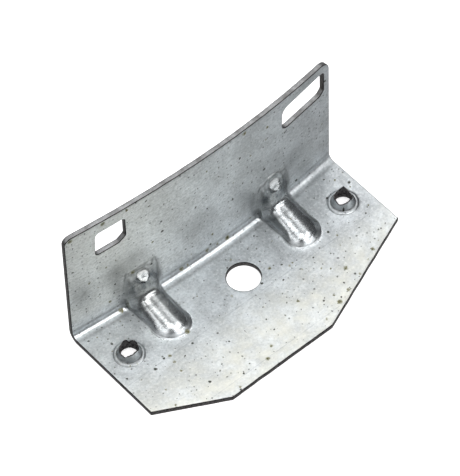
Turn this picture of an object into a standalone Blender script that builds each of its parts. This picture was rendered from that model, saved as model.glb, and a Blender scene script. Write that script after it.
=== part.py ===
"""Roof bracket: one pressing of galvanised sheet steel, built in metres with +Z up.

The base plate lies on the XY plane, the curved flange stands along its back edge at +Y,
and two hollow ribs bridge the bend between them.
"""

import math

import bmesh
import bpy
from mathutils import Matrix, Vector

MM = 0.001

# Sheet and overall outline
WIDTH = 120.0 * MM
SHEET = 2.0 * MM
PLATE_DEPTH = 56.5 * MM
FLANGE_HEIGHT = 57.0 * MM
FLANGE_TOP_DIP = 0.8 * MM
FLANGE_CORNER = 3.5 * MM
BEND_RADIUS = 2.0 * MM

# Plan of the plate: how deep each side runs, and where the front edge starts and ends
LEFT_SIDE_DEPTH = 42.6 * MM
RIGHT_SIDE_DEPTH = 36.9 * MM
FRONT_LEFT_X = -34.8 * MM
FRONT_RIGHT_X = 11.3 * MM

# Plan of the bend: it bows towards the plate to sit against a round body
BOW = 3.8 * MM
BOW_SKEW = 0.5 * MM

# Ribs
RIB_X = (-30.6 * MM, 30.0 * MM)
BEAD_RADIUS = 6.4 * MM
BEAD_SINK = 1.0 * MM
BEAD_LENGTH = 16.5 * MM
FACET_TOP = 18.5 * MM
FACET_FOOT = 7.0 * MM
FACET_HALF_WIDTH = 5.2 * MM
FACET_EDGE = 2.2 * MM
RIB_FILLET = 1.4 * MM
FLANK_FILLET = 3.0 * MM
CREASE_FILLET = 0.6 * MM
DIMPLE_HEIGHT = 13.4 * MM
DIMPLE_RADIUS = 3.6 * MM
DIMPLE_DEPTH = 0.8 * MM

# Holes
CENTRE_HOLE_X = 1.8 * MM
CENTRE_HOLE_DEPTH = 20.0 * MM
CENTRE_HOLE_RADIUS = 6.25 * MM
SLOT_HEIGHT = 11.6 * MM
SLOT_CORNER = 2.2 * MM
SLOT_MID_HEIGHT = 45.6 * MM
LEFT_SLOT_X = -41.7 * MM
LEFT_SLOT_LENGTH = 12.6 * MM
RIGHT_SLOT_X = 46.3 * MM
RIGHT_SLOT_LENGTH = 21.4 * MM
RIGHT_SLOT_TILT = math.radians(-3.0)

# Burst collars around the two small holes
COLLAR_X = 49.8 * MM
COLLAR_DEPTH = 18.8 * MM
COLLAR_TIP_BORE = 2.95 * MM
COLLAR_FOOT_BORE = 4.1 * MM
COLLAR_TIP = 3.4 * MM
COLLAR_ROOT = 3.9 * MM
COLLAR_FLARE = 5.4 * MM
COLLAR_HEIGHT = 5.0 * MM
COLLAR_SHOULDER = 1.5 * MM
COLLAR_FILLET = 0.5 * MM
COLLAR_BITE = 0.1 * MM
BORE_STOCK = 0.5 * MM
COLLAR_SLANT = 1.8 * MM
COLLAR_HIGH_SIDE = math.radians(51.0)
COLLAR_STEPS = 32
COLLAR_NOTCHES = 5
NOTCH_WIDTH = 1.2 * MM
NOTCH_TURN = math.radians(45.0)

# Mesh fineness
PLATE_STEPS = 4
RIB_STEPS = 16
BEND_STEPS = 5
SIDE_STEPS = 4
MIDDLE_STEPS = 2
CORNER_STEPS = 3
SLOT_CORNER_STEPS = 5
ROUND_STEPS = 40
HALVINGS = 30
ON_SURFACE = -1e-7

# Worked out from the sizes above
HALF_WIDTH = WIDTH / 2
FACE_Y = (PLATE_DEPTH - SHEET) / 2
RIB_REACH = 9.6 * MM
RIB_DEPTH = 27.0 * MM
RIB_RISE = 24.0 * MM

ZINC = (0.56, 0.58, 0.60, 1.0)
ZINC_ROUGHNESS = 0.42


def clear_scene():
    """Remove every object that the file opened with."""
    for old in list(bpy.data.objects):
        bpy.data.objects.remove(old, do_unlink=True)


def new_collection(name):
    """Add a collection to the scene."""
    collection = bpy.data.collections.new(name)
    bpy.context.scene.collection.children.link(collection)
    return collection


def zinc_material():
    """Galvanised sheet steel."""
    material = bpy.data.materials.new("galvanised_steel")
    material.use_nodes = True
    shader = material.node_tree.nodes["Principled BSDF"]
    shader.inputs["Base Color"].default_value = ZINC
    shader.inputs["Roughness"].default_value = ZINC_ROUGHNESS
    shader.inputs["Metallic"].default_value = 1.0
    material.diffuse_color = ZINC
    return material


def steps(start, end, count):
    """Evenly spaced values from start up to, but not including, end."""
    return [start + (end - start) * i / count for i in range(count)]


def bow_at(x):
    """How far the bend and the flange bulge towards the plate at x."""
    u = x / HALF_WIDTH
    return (BOW + BOW_SKEW * u) * (1 - u * u)


def front_depth_at(x):
    """Depth of the plate's outline at x, from the flange's end faces."""
    if x < FRONT_LEFT_X:
        t = (x + HALF_WIDTH) / (FRONT_LEFT_X + HALF_WIDTH)
        return LEFT_SIDE_DEPTH + (PLATE_DEPTH - LEFT_SIDE_DEPTH) * t
    if x > FRONT_RIGHT_X:
        t = (HALF_WIDTH - x) / (HALF_WIDTH - FRONT_RIGHT_X)
        return RIGHT_SIDE_DEPTH + (PLATE_DEPTH - RIGHT_SIDE_DEPTH) * t
    return PLATE_DEPTH


def flange_top_at(x):
    """Height of the flange's top edge above the plate's upper face at x."""
    u = x / HALF_WIDTH
    top = FLANGE_HEIGHT - SHEET - FLANGE_TOP_DIP * (1 - u * u)
    past_corner = abs(x) - (HALF_WIDTH - FLANGE_CORNER)
    if past_corner > 0:
        rise = math.sqrt(max(FLANGE_CORNER ** 2 - past_corner ** 2, 0.0))
        top -= FLANGE_CORNER - rise
    return top


def smooth_union(first, second, radius):
    """Join two distances, rounding the valley between them to about radius."""
    overlap = max(radius - abs(first - second), 0.0) / radius
    return min(first, second) - overlap * overlap * radius / 4


def rounded_meet(first, second, radius):
    """Distance to the corner shared by two faces, rounded to radius."""
    outside = math.hypot(max(first + radius, 0.0), max(second + radius, 0.0))
    inside = min(max(first, second), -radius)
    return inside + outside


def bend_distance(out, up):
    """Distance of a point from the plain bent sheet's inner surface."""
    if out < BEND_RADIUS and up < BEND_RADIUS:
        return BEND_RADIUS - math.hypot(BEND_RADIUS - out, BEND_RADIUS - up)
    return min(out, up)


def rib_distance(side, out, up):
    """Distance of a point from one rib: a round-nosed bead under a sloping facet."""
    past_nose = max(out - BEAD_LENGTH, 0.0)
    bead = math.hypot(side, past_nose, up + BEAD_SINK) - BEAD_RADIUS

    slope = Vector((FACET_TOP, FACET_FOOT)).normalized()
    along_normal = out * slope[0] + up * slope[1]
    plane = along_normal - FACET_TOP * slope[1]
    facet = rounded_meet(plane, abs(side) - FACET_HALF_WIDTH, FACET_EDGE)

    dimple_out = (FACET_TOP - DIMPLE_HEIGHT) * FACET_FOOT / FACET_TOP
    from_dimple = math.hypot(side, out - dimple_out, up - DIMPLE_HEIGHT)
    hollow = max(1 - (from_dimple / DIMPLE_RADIUS) ** 2, 0.0)
    facet += DIMPLE_DEPTH * hollow
    return smooth_union(bead, facet, CREASE_FILLET)


def surface_distance(x, out, up):
    """Distance of a point from the whole inner surface of the pressing."""
    distance = bend_distance(out, up)
    for rib_x in RIB_X:
        side = x - rib_x
        if abs(side) < RIB_REACH:
            rise = min(up / FACET_TOP, 1.0)
            fillet = RIB_FILLET + (FLANK_FILLET - RIB_FILLET) * rise
            distance = smooth_union(distance, rib_distance(side, out, up), fillet)
    return distance


def pressed_point(x, out, up):
    """Move a point of the plain bent sheet out to the face of the ribs."""
    near = 0.0
    far = BEAD_RADIUS * 2
    if surface_distance(x, out, up) > ON_SURFACE:
        return out, up
    for _ in range(HALVINGS):
        middle = (near + far) / 2
        shift = middle * math.sqrt(0.5)
        if surface_distance(x, out + shift, up + shift) < 0:
            near = middle
        else:
            far = middle
    shift = near * math.sqrt(0.5)
    return out + shift, up + shift


def column_places():
    """Places across the width, closer together over the ribs."""
    corner = HALF_WIDTH - FLANGE_CORNER
    left, right = RIB_X
    places = steps(-HALF_WIDTH, -corner, CORNER_STEPS)
    places += steps(-corner, left - RIB_REACH, SIDE_STEPS)
    places += steps(left - RIB_REACH, left + RIB_REACH, RIB_STEPS)
    places += steps(left + RIB_REACH, FRONT_RIGHT_X, SIDE_STEPS)
    places += steps(FRONT_RIGHT_X, right - RIB_REACH, MIDDLE_STEPS)
    places += steps(right - RIB_REACH, right + RIB_REACH, RIB_STEPS)
    places += steps(right + RIB_REACH, corner, SIDE_STEPS)
    places += steps(corner, HALF_WIDTH, CORNER_STEPS)
    nearest = min(range(len(places)), key=lambda i: abs(places[i] - FRONT_LEFT_X))
    places[nearest] = FRONT_LEFT_X
    return places + [HALF_WIDTH]


def section_at(x):
    """Section of the plain bent sheet at x, from the front edge to the flange's top."""
    bow = bow_at(x)
    radius = BEND_RADIUS
    depths = steps(front_depth_at(x) - bow, RIB_DEPTH, PLATE_STEPS)
    depths += steps(RIB_DEPTH, radius, RIB_STEPS)
    section = [(depth, 0.0) for depth in depths]
    for angle in steps(0.0, math.pi / 2, BEND_STEPS):
        section.append((radius - radius * math.sin(angle), radius - radius * math.cos(angle)))
    top = flange_top_at(x)
    heights = steps(radius, RIB_RISE, RIB_STEPS) + steps(RIB_RISE, top, PLATE_STEPS) + [top]
    section += [(0.0, height) for height in heights]
    return section


def pressing(collection, material):
    """The bent and ribbed sheet: its inner surface, thickened downwards and backwards."""
    places = column_places()
    rows = len(section_at(0.0))
    mesh = bpy.data.meshes.new("bracket_pressing")
    bm = bmesh.new()
    bmesh.ops.create_grid(bm, x_segments=len(places) - 1, y_segments=rows - 1, size=1.0)
    bm.verts.ensure_lookup_table()
    ordered = sorted(bm.verts, key=lambda vert: (round(vert.co.x, 5), round(vert.co.y, 5)))
    for column, x in enumerate(places):
        for row, (out, up) in enumerate(section_at(x)):
            out, up = pressed_point(x, out, up)
            vert = ordered[column * rows + row]
            vert.co = (x, FACE_Y - bow_at(x) - out, SHEET + up)
    bmesh.ops.recalc_face_normals(bm, faces=bm.faces)
    if sum(face.normal.z for face in bm.faces) < 0:
        bmesh.ops.reverse_faces(bm, faces=bm.faces)
    bm.to_mesh(mesh)
    bm.free()
    body = bpy.data.objects.new("bracket_pressing", mesh)
    collection.objects.link(body)
    body.data.materials.append(material)
    thickness = body.modifiers.new("sheet", "SOLIDIFY")
    thickness.thickness = SHEET
    thickness.offset = -1.0
    return body


def mesh_object(collection, name, bm):
    """Turn a finished bmesh into an object."""
    mesh = bpy.data.meshes.new(name)
    bm.to_mesh(mesh)
    bm.free()
    item = bpy.data.objects.new(name, mesh)
    collection.objects.link(item)
    return item


def make_cutter(item):
    """Keep a cutting shape out of the render."""
    item.hide_render = True
    item.display_type = "WIRE"
    return item


def round_cutter(collection, name, radii, low, high, x, y):
    """An upright round cutter, with its radius at the foot and at the top."""
    foot, tip = radii
    bm = bmesh.new()
    bmesh.ops.create_cone(
        bm, cap_ends=True, segments=ROUND_STEPS, radius1=foot, radius2=tip, depth=high - low
    )
    item = mesh_object(collection, name, bm)
    item.location = (x, y, (low + high) / 2)
    return make_cutter(item)


def slot_cutter(collection, name, length, x, tilt):
    """A round-cornered cutter that runs through the flange along Y."""
    bm = bmesh.new()
    bmesh.ops.create_cube(bm, size=1.0)
    reach = 4 * BOW
    bmesh.ops.scale(bm, vec=(length, reach, SLOT_HEIGHT), verts=bm.verts)
    corners = [e for e in bm.edges if abs(e.verts[0].co.y - e.verts[1].co.y) > reach / 2]
    bmesh.ops.bevel(
        bm, geom=corners, offset=SLOT_CORNER, segments=SLOT_CORNER_STEPS, profile=0.5,
        affect="EDGES", material=-1,
    )
    item = mesh_object(collection, name, bm)
    item.location = (x, FACE_Y - bow_at(x), SLOT_MID_HEIGHT)
    item.rotation_euler = (0.0, tilt, 0.0)
    return make_cutter(item)


def rim_height(angle):
    """Height of a collar's torn rim, which leans down towards the plate's front."""
    lean = (1 - math.cos(angle - COLLAR_HIGH_SIDE)) / 2
    return SHEET + COLLAR_HEIGHT - COLLAR_SLANT * lean


def collar(collection, name, x, y):
    """The wall of a burst hole: a turned flare whose rim slants."""
    top = SHEET + COLLAR_HEIGHT
    low = SHEET / 2
    inner = COLLAR_TIP_BORE - BORE_STOCK
    profile = [
        (inner, top),
        (COLLAR_TIP, top),
        (COLLAR_ROOT, SHEET + COLLAR_SHOULDER),
        (COLLAR_ROOT + COLLAR_FILLET, SHEET + COLLAR_FILLET),
        (COLLAR_FLARE, SHEET - COLLAR_BITE),
        (COLLAR_FLARE, low),
        (inner, low),
    ]
    bm = bmesh.new()
    verts = [bm.verts.new((radius, 0.0, height)) for radius, height in profile]
    for first, second in zip(verts, verts[1:] + verts[:1]):
        bm.edges.new((first, second))
    bmesh.ops.spin(
        bm, geom=bm.verts[:] + bm.edges[:], cent=(0, 0, 0), axis=(0, 0, 1), dvec=(0, 0, 0),
        angle=math.tau, steps=COLLAR_STEPS, use_merge=True, use_duplicate=False,
    )
    for vert in bm.verts:
        if vert.co.z > top - COLLAR_BITE:
            vert.co.z = rim_height(math.atan2(vert.co.y, vert.co.x))
    bmesh.ops.recalc_face_normals(bm, faces=bm.faces)
    item = mesh_object(collection, name, bm)
    item.location = (x, y, 0.0)
    return make_cutter(item)


def notch_cutters(collection, name, x, y):
    """Wedges that tear the rim of a collar into petals."""
    bm = bmesh.new()
    for i in range(COLLAR_NOTCHES):
        angle = math.tau * (i + 0.5) / COLLAR_NOTCHES + COLLAR_HIGH_SIDE
        turn = Matrix.Rotation(angle, 4, "Z")
        place = Matrix.Translation((COLLAR_TIP, 0.0, rim_height(angle)))
        tip = Matrix.Rotation(NOTCH_TURN, 4, "X")
        bmesh.ops.create_cube(bm, size=NOTCH_WIDTH, matrix=turn @ place @ tip)
    item = mesh_object(collection, name, bm)
    item.location = (x, y, 0.0)
    return make_cutter(item)


def boolean(target, other, operation):
    """Join a shape to the target, or cut it away, exactly."""
    modifier = target.modifiers.new(other.name, "BOOLEAN")
    modifier.operation = operation
    modifier.solver = "EXACT"
    modifier.object = other


def build():
    """Build the bracket."""
    clear_scene()
    parts = new_collection("roof_bracket")
    cutters = new_collection("cutters")
    body = pressing(parts, zinc_material())

    collar_y = FACE_Y - COLLAR_DEPTH
    top = SHEET + COLLAR_HEIGHT
    taper = (COLLAR_FOOT_BORE - COLLAR_TIP_BORE) / top
    radii = (COLLAR_FOOT_BORE + taper * SHEET, COLLAR_TIP_BORE - taper * SHEET)
    for side, x in (("left", -COLLAR_X), ("right", COLLAR_X)):
        wall = collar(cutters, side + "_collar", x, collar_y)
        boolean(body, wall, "UNION")
        notches = notch_cutters(cutters, side + "_notches", x, collar_y)
        boolean(body, notches, "DIFFERENCE")
        bore = round_cutter(cutters, side + "_bore", radii, -SHEET, top + SHEET, x, collar_y)
        boolean(body, bore, "DIFFERENCE")

    radii = (CENTRE_HOLE_RADIUS, CENTRE_HOLE_RADIUS)
    hole_y = FACE_Y - CENTRE_HOLE_DEPTH
    hole = round_cutter(
        cutters, "centre_hole", radii, -SHEET, 2 * SHEET, CENTRE_HOLE_X, hole_y
    )
    boolean(body, hole, "DIFFERENCE")
    left_slot = slot_cutter(cutters, "left_slot", LEFT_SLOT_LENGTH, LEFT_SLOT_X, 0.0)
    boolean(body, left_slot, "DIFFERENCE")
    right_slot = slot_cutter(
        cutters, "right_slot", RIGHT_SLOT_LENGTH, RIGHT_SLOT_X, RIGHT_SLOT_TILT
    )
    boolean(body, right_slot, "DIFFERENCE")


build()
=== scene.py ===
"""Roof bracket: the finished look of one galvanised sheet-steel pressing.

A flat grid is cut to the blank's outline and holes, formed over the bend and the ribs, burst
upwards at the two small holes, and given its wall thickness, zinc, sheared edges and stains.
"""

import math

import bmesh
import bpy
from mathutils import Matrix, Vector, noise


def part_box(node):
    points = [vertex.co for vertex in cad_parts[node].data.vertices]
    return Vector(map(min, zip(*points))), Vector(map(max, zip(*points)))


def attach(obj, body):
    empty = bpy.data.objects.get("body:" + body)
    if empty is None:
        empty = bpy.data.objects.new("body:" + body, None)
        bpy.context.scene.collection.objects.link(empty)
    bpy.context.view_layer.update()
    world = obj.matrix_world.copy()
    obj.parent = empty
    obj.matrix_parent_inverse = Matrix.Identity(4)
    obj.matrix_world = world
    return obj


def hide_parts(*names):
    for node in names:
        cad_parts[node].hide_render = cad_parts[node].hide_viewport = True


bl_info = {
    "name": "Roof Bracket",
    "version": (1, 0, 0),
    "blender": (4, 5, 0),
    "location": "View3D > Sidebar > Roof Bracket",
    "description": "Builds a pressed, galvanised roof bracket and its studio",
    "category": "Add Mesh",
}

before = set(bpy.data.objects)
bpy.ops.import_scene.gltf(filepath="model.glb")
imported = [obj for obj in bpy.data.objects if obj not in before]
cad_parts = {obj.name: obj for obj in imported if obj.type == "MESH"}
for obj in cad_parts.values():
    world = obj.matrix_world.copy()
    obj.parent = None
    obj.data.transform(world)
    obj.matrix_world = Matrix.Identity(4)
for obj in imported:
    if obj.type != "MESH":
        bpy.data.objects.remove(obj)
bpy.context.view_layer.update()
NODE = "bracket_pressing"
LOW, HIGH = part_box(NODE)

MM = 0.001


# ---------------------------------------------------------------- sizes and colours


def linear(hex_colour):
    """An sRGB hex colour as a linear RGBA tuple."""
    channels = [int(hex_colour[i:i + 2], 16) / 255 for i in (1, 3, 5)]
    return tuple(
        c / 12.92 if c <= 0.04045 else ((c + 0.055) / 1.055) ** 2.4 for c in channels
    ) + (1.0,)


class BracketSizes(bpy.types.PropertyGroup):
    """Sizes of the blank, the bend, the ribs and the holes, and the colours of the finish."""

    sheet: bpy.props.FloatProperty(
        name="Sheet", description="Thickness of the steel", default=2.0 * MM, unit="LENGTH"
    )
    bend_radius: bpy.props.FloatProperty(
        name="Bend radius", description="Inner radius of the bend", default=2.3 * MM,
        unit="LENGTH",
    )
    left_side: bpy.props.FloatProperty(
        name="Left side", description="Depth of the plate's left side", default=42.6 * MM,
        unit="LENGTH",
    )
    right_side: bpy.props.FloatProperty(
        name="Right side", description="Depth of the plate's right side", default=36.9 * MM,
        unit="LENGTH",
    )
    front_left: bpy.props.FloatProperty(
        name="Front edge start", description="X of the front edge's left end",
        default=-34.8 * MM, unit="LENGTH",
    )
    front_right: bpy.props.FloatProperty(
        name="Front edge end", description="X of the front edge's right end",
        default=11.3 * MM, unit="LENGTH",
    )
    bow: bpy.props.FloatProperty(
        name="Bow", description="How far the flange bulges towards the plate",
        default=3.8 * MM, unit="LENGTH",
    )
    edge_round: bpy.props.FloatProperty(
        name="Edge round", description="Width of the worn rounding on every cut edge",
        default=0.23 * MM, unit="LENGTH",
    )
    zinc: bpy.props.FloatVectorProperty(
        name="Zinc", description="Colour of the bright zinc", subtype="COLOR", size=3,
        min=0.0, max=1.0, default=linear("#e3e8eb")[:3],
    )
    stain: bpy.props.FloatVectorProperty(
        name="Stain", description="Colour of the olive-brown passivation stains",
        subtype="COLOR", size=3, min=0.0, max=1.0, default=linear("#8e8b65")[:3],
    )


# ---------------------------------------------------------------- the blank and the bend

# Places that the outline, ribs, holes and collars share with the solid part
HALF_WIDTH = (HIGH.x - LOW.x) / 2
BOW_SKEW = 0.5 * MM
FLANGE_UP = 55.0 * MM
TOP_DIP = 0.8 * MM
LEFT_CORNER = 3.0 * MM
RIGHT_CORNER = 4.5 * MM
EDGE_WANDER = 0.12 * MM
EDGE_WAVE = 5.0 * MM
TOP_EDGE_SEED = 3.0
FRONT_EDGE_SEED = 7.0
RIB_X = (-30.6 * MM, 30.0 * MM)
RIB_REACH = 11.4 * MM
RIB_DEPTH = 27.0 * MM
RIB_RISE = 24.0 * MM
COLLAR_X = 49.8 * MM
COLLAR_DEPTH = 18.8 * MM
CENTRE_HOLE = (1.8 * MM, 20.0 * MM, 6.25 * MM)
# Corners of the two slots: (x, height above the plate, corner radius), in millimetres
LEFT_SLOT = (
    (-48.1, 37.8, 1.6), (-38.2, 37.8, 0.9), (-35.4, 39.8, 0.9), (-35.4, 49.2, 1.3),
    (-47.6, 49.2, 1.7),
)
RIGHT_SLOT = (
    (35.6, 37.9, 2.6), (55.0, 39.2, 0.9), (57.0, 40.9, 0.9), (57.0, 50.9, 1.3),
    (36.0, 48.8, 3.4),
)

# Mesh fineness: spacings, and how far from a rib's middle and foot the finest one is used
FINE = 0.4 * MM
FINEST = 0.16 * MM
FLANK_INSIDE = 4.6 * MM
FLANK_OUTSIDE = 7.8 * MM
NOSE_INSIDE = 19.5 * MM
NOSE_OUTSIDE = 23.6 * MM
COARSE = 1.7 * MM
BEND_STEPS = 9
FRONT_ROWS = 16
TOP_ROWS = 18
HOLE_STEPS = 96
SLOT_CORNER_STEPS = 6
# Bare margin cleared round a hole before its outline is knitted into the grid
KNIT = 0.7 * MM
COLLAR_KNIT = 0.5 * MM


def sizes():
    """The sizes that the sidebar holds."""
    return bpy.context.scene.bracket_sizes


def face_y():
    """Y of the flange's inner face at its two ends."""
    return HIGH.y - sizes().sheet


def spread(start, end, spacing):
    """Even values from start up to, but not including, end, about spacing apart."""
    count = max(1, round(abs(end - start) / spacing))
    return [start + (end - start) * i / count for i in range(count)]


def smoothstep(low, high, value):
    """Rise smoothly from 0 at low to 1 at high."""
    t = min(max((value - low) / (high - low), 0.0), 1.0)
    return t * t * (3 - 2 * t)


def bow_at(x):
    """How far the bend and the flange bulge towards the plate at x."""
    u = x / HALF_WIDTH
    return (sizes().bow + BOW_SKEW * u) * (1 - u * u)


def front_depth_at(x):
    """Depth of the plate's outline at x, from the flange's end faces."""
    s = sizes()
    depth = HIGH.y - s.sheet - LOW.y
    if x < s.front_left:
        t = (x + HALF_WIDTH) / (s.front_left + HALF_WIDTH)
        return s.left_side + (depth - s.left_side) * t
    if x > s.front_right:
        t = (HALF_WIDTH - x) / (HALF_WIDTH - s.front_right)
        return s.right_side + (depth - s.right_side) * t
    return depth


def wander(place, seed):
    """The slight waviness of a sheared edge."""
    wave = noise.noise(Vector((place / EDGE_WAVE, seed, 0.0)))
    return EDGE_WANDER * (wave - 0.5)


def flange_top_at(x):
    """Height of the flange's top edge above the plate's upper face at x."""
    u = x / HALF_WIDTH
    top = FLANGE_UP - TOP_DIP * (1 - u * u) + wander(x, TOP_EDGE_SEED)
    corner = LEFT_CORNER if x < 0 else RIGHT_CORNER
    past_corner = abs(x) - (HALF_WIDTH - corner)
    if past_corner > 0:
        top -= corner - math.sqrt(max(corner ** 2 - past_corner ** 2, 0.0))
    return top


def unroll(out, up):
    """Place on the flat blank, along Y, of a point of the plain bent sheet."""
    radius = sizes().bend_radius
    if up <= 0.0:
        return radius - out
    if out <= 0.0:
        return up - radius + radius * math.pi / 2
    return radius * math.acos(min(max((radius - up) / radius, 0.0), 1.0))


def roll(along):
    """The point (out, up) of the plain bent sheet at this place on the flat blank."""
    radius = sizes().bend_radius
    if along <= 0.0:
        return radius - along, 0.0
    if along >= radius * math.pi / 2:
        return 0.0, along - radius * math.pi / 2 + radius
    angle = along / radius
    return radius - radius * math.sin(angle), radius - radius * math.cos(angle)


def rib_columns(x):
    """Places across one rib, closest together on its flanks."""
    places = spread(x - RIB_REACH, x - FLANK_OUTSIDE, FINE)
    places += spread(x - FLANK_OUTSIDE, x - FLANK_INSIDE, FINEST)
    places += spread(x - FLANK_INSIDE, x + FLANK_INSIDE, FINE)
    places += spread(x + FLANK_INSIDE, x + FLANK_OUTSIDE, FINEST)
    return places + spread(x + FLANK_OUTSIDE, x + RIB_REACH, FINE)


def column_places():
    """Places across the width, closer together over the ribs."""
    s = sizes()
    left, right = RIB_X
    places = spread(-HALF_WIDTH, LEFT_CORNER - HALF_WIDTH, FINE)
    places += spread(LEFT_CORNER - HALF_WIDTH, left - RIB_REACH, COARSE)
    places += rib_columns(left)
    places += spread(left + RIB_REACH, s.front_right, COARSE)
    places += spread(s.front_right, right - RIB_REACH, COARSE)
    places += rib_columns(right)
    places += spread(right + RIB_REACH, HALF_WIDTH - RIGHT_CORNER, COARSE)
    places += spread(HALF_WIDTH - RIGHT_CORNER, HALF_WIDTH, FINE)
    nearest = min(range(len(places)), key=lambda i: abs(places[i] - s.front_left))
    places[nearest] = s.front_left
    return places + [HALF_WIDTH]


def row_places(x):
    """Places along the flat blank at x, from the front edge to the flange's top."""
    radius = sizes().bend_radius
    bend_end = radius * math.pi / 2
    rib_foot = radius - RIB_DEPTH
    rib_head = unroll(0.0, RIB_RISE)
    front = radius - (front_depth_at(x) + wander(x, FRONT_EDGE_SEED) - bow_at(x))
    top = unroll(0.0, flange_top_at(x))
    places = [front + (rib_foot - front) * i / FRONT_ROWS for i in range(FRONT_ROWS)]
    places += spread(rib_foot, radius - NOSE_OUTSIDE, FINE)
    places += spread(radius - NOSE_OUTSIDE, radius - NOSE_INSIDE, FINEST)
    places += spread(radius - NOSE_INSIDE, 0.0, FINE)
    places += spread(0.0, bend_end, bend_end / BEND_STEPS)
    places += spread(bend_end, rib_head, FINE)
    places += [rib_head + (top - rib_head) * i / TOP_ROWS for i in range(TOP_ROWS)]
    return places + [top]


def flat_blank():
    """A flat grid in the shape of the blank, with X across and Y along the sheet."""
    columns = column_places()
    rows = len(row_places(0.0))
    bm = bmesh.new()
    bmesh.ops.create_grid(bm, x_segments=len(columns) - 1, y_segments=rows - 1, size=1.0)
    ordered = sorted(bm.verts, key=lambda vert: (round(vert.co.x, 5), round(vert.co.y, 5)))
    for column, x in enumerate(columns):
        for row, along in enumerate(row_places(x)):
            ordered[column * rows + row].co = (x, along, 0.0)
    return bm


def round_outline(x, depth, radius, count):
    """A round hole in the plate, as points on the flat blank."""
    points = []
    for i in range(count):
        angle = math.tau * i / count
        px = x + radius * math.cos(angle)
        out = depth + radius * math.sin(angle) - bow_at(px)
        points.append(Vector((px, unroll(out, 0.0), 0.0)))
    return points


def slot_outline(corners):
    """A slot in the flange with its own radius at each corner, as points on the flat blank."""
    points = []
    places = [Vector((x, up)) * MM for x, up, _ in corners]
    for i, (_, _, radius) in enumerate(corners):
        corner = places[i]
        back = (places[i - 1] - corner).normalized()
        ahead = (places[(i + 1) % len(places)] - corner).normalized()
        half = back.angle(ahead) / 2
        centre = corner + (back + ahead).normalized() * (radius * MM / math.sin(half))
        start = corner + back * (radius * MM / math.tan(half)) - centre
        turn = math.pi - 2 * half
        for step in range(SLOT_CORNER_STEPS + 1):
            rim = centre + Matrix.Rotation(turn * step / SLOT_CORNER_STEPS, 2) @ start
            points.append(Vector((rim.x, unroll(0.0, rim.y), 0.0)))
    return points


def inside(point, outline, margin):
    """Whether a point lies inside an outline, or within a margin of it."""
    crossings = 0
    nearest = margin + 1.0
    for a, b in zip(outline, outline[1:] + outline[:1]):
        if (a.y > point.y) != (b.y > point.y):
            if point.x < a.x + (point.y - a.y) * (b.x - a.x) / (b.y - a.y):
                crossings += 1
        run = b - a
        t = min(max((point - a).dot(run) / run.length_squared, 0.0), 1.0)
        nearest = min(nearest, (point - a - run * t).length)
    return crossings % 2 == 1 or nearest < margin


def pierce(bm, outline, margin):
    """Cut a hole in the flat blank and knit its exact outline into the grid."""
    low_x = min(p.x for p in outline) - 2 * margin
    high_x = max(p.x for p in outline) + 2 * margin
    low_y = min(p.y for p in outline) - 2 * margin
    high_y = max(p.y for p in outline) + 2 * margin
    near = [
        vert for vert in bm.verts
        if low_x < vert.co.x < high_x and low_y < vert.co.y < high_y
    ]
    gone = [vert for vert in near if inside(vert.co, outline, margin)]
    before = {edge for edge in bm.edges if edge.is_boundary}
    bmesh.ops.delete(bm, geom=gone, context="VERTS")
    jagged = [edge for edge in bm.edges if edge.is_boundary and edge not in before]
    verts = [bm.verts.new(point) for point in outline]
    rim = [bm.edges.new(pair) for pair in zip(verts, verts[1:] + verts[:1])]
    bmesh.ops.triangle_fill(bm, edges=jagged + rim, use_beauty=True)
    return rim


# ---------------------------------------------------------------- the ribs

# The bead that runs out over the plate: its round top, its fall and its rounded shoulders
BEAD_LENGTH = 15.4 * MM
BEAD_CROWN = 8.8 * MM
BEAD_DEPTH = 5.3 * MM
BEAD_FALL = math.radians(13.0)
BEAD_EDGE = 2.3 * MM
NOSE_EDGE = 0.7 * MM
BEAD_EDGE_RUN = (2 * MM, 9 * MM)
NOSE_EDGE_RUN = (12 * MM, 17 * MM)
FOOT_WIDTH = 7.1 * MM
HEAD_WIDTH = 5.9 * MM
DRAFT = math.radians(13.0)
TAPER_START = 5 * MM
# The facet that leans against the flange
FACET_CROWN = 15.0 * MM
FACET_TOP = 18.5 * MM
FACET_FOOT = 7.0 * MM
FACET_EDGE = 3.0 * MM
FACET_TOP_EDGE = 0.5 * MM
FACET_EDGE_RUN = (0.45, 0.95)
RIDGE_HEIGHT = 0.40 * MM
RIDGE_DROP = 0.5 * MM
# Fillets between the ribs and the sheet, and across the crease between bead and facet
FOOT_FILLET = 1.3 * MM
FLANK_FILLET = 3.8 * MM
HEAD_FILLET = 0.7 * MM
CREASE_FILLET = 1.5 * MM
HEAD_RUN = (3.0 * MM, 8.0 * MM)
HEAD_CORNER = (0.6, 1.1)
# Height above which the right rib's head narrows in an arch
ARCH_UP = 13.6 * MM
# The spot struck into each facet, and the ring raised round the right one
DENT_UP = 14.2 * MM
DENT_RADIUS = 2.3 * MM
DENT_EDGE = 0.8 * MM
DENT_TILT = math.radians(23.0)
RING_RADIUS = 4.2 * MM
RING_WIDTH = 0.42 * MM
RING_HEIGHT = 0.45 * MM
RING_RUN = (-3 * MM, 0.0)
# Slight unevenness of the pressed metal
HAMMERED = 0.02 * MM
HAMMER_MARK = 2.6 * MM
HAMMER_RUN = (0.0, 2 * MM)
# How closely a point is brought to the ribs' face
ON_FACE = -1e-7
HALVINGS = 26


def smooth_union(first, second, radius):
    """Join two distances, rounding the valley between them to about radius."""
    overlap = max(radius - abs(first - second), 0.0) / radius
    return min(first, second) - overlap * overlap * radius / 4


def rounded_meet(first, second, radius):
    """Distance to the corner shared by two faces, rounded to radius."""
    outside = math.hypot(max(first + radius, 0.0), max(second + radius, 0.0))
    return min(max(first, second), -radius) + outside


def bend_distance(out, up):
    """Distance of a point from the plain bent sheet's inner surface."""
    radius = sizes().bend_radius
    if out < radius and up < radius:
        return radius - math.hypot(radius - out, radius - up)
    return min(out, up)


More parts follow.
